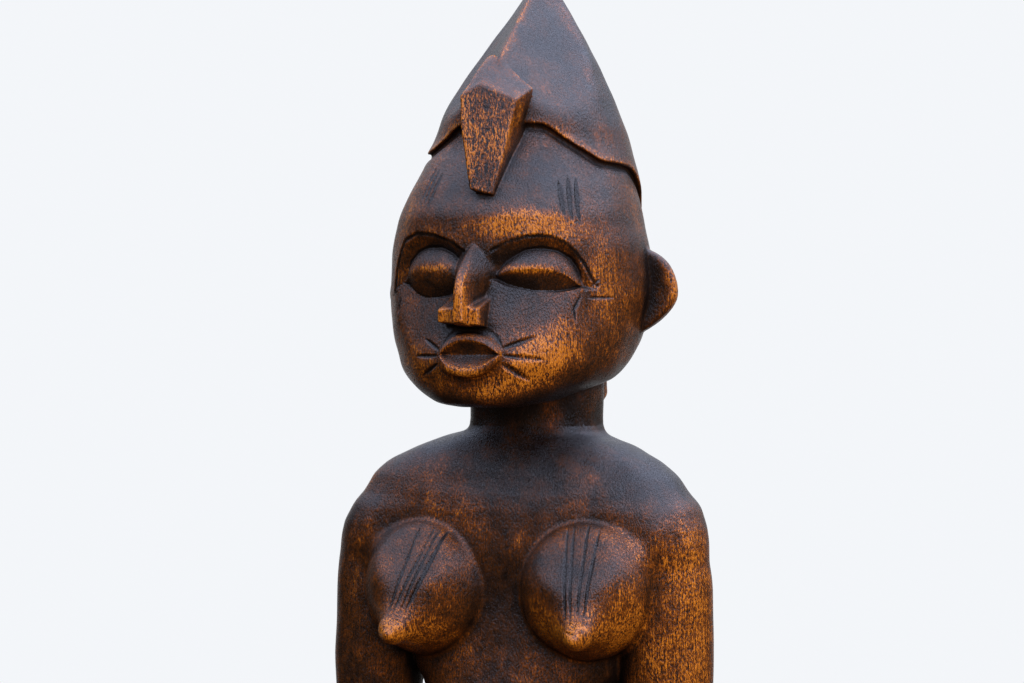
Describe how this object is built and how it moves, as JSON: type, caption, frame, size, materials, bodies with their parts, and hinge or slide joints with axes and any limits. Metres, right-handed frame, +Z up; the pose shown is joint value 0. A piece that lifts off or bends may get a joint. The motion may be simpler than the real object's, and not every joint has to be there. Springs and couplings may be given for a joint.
{
  "type": "standing figure",
  "caption": "Carved wooden standing figure of a woman with a pointed cap of hair and hanging arms, on a low round base that rests on its flat underside.",
  "frame": {"origin": "centre of the underside of the round base", "axes": "+Z up, the figure faces -Y, and its left arm is on +X"},
  "size_m": [0.1442, 0.144, 0.504],
  "materials": {
    "stained_wood": "dark brown stain over orange-brown wood, worn through to the wood on the raised places, waxed to a satin gloss"
  },
  "bodies": {
    "root": {"standing_figure": "stained_wood"}
  },
  "joints": []
}
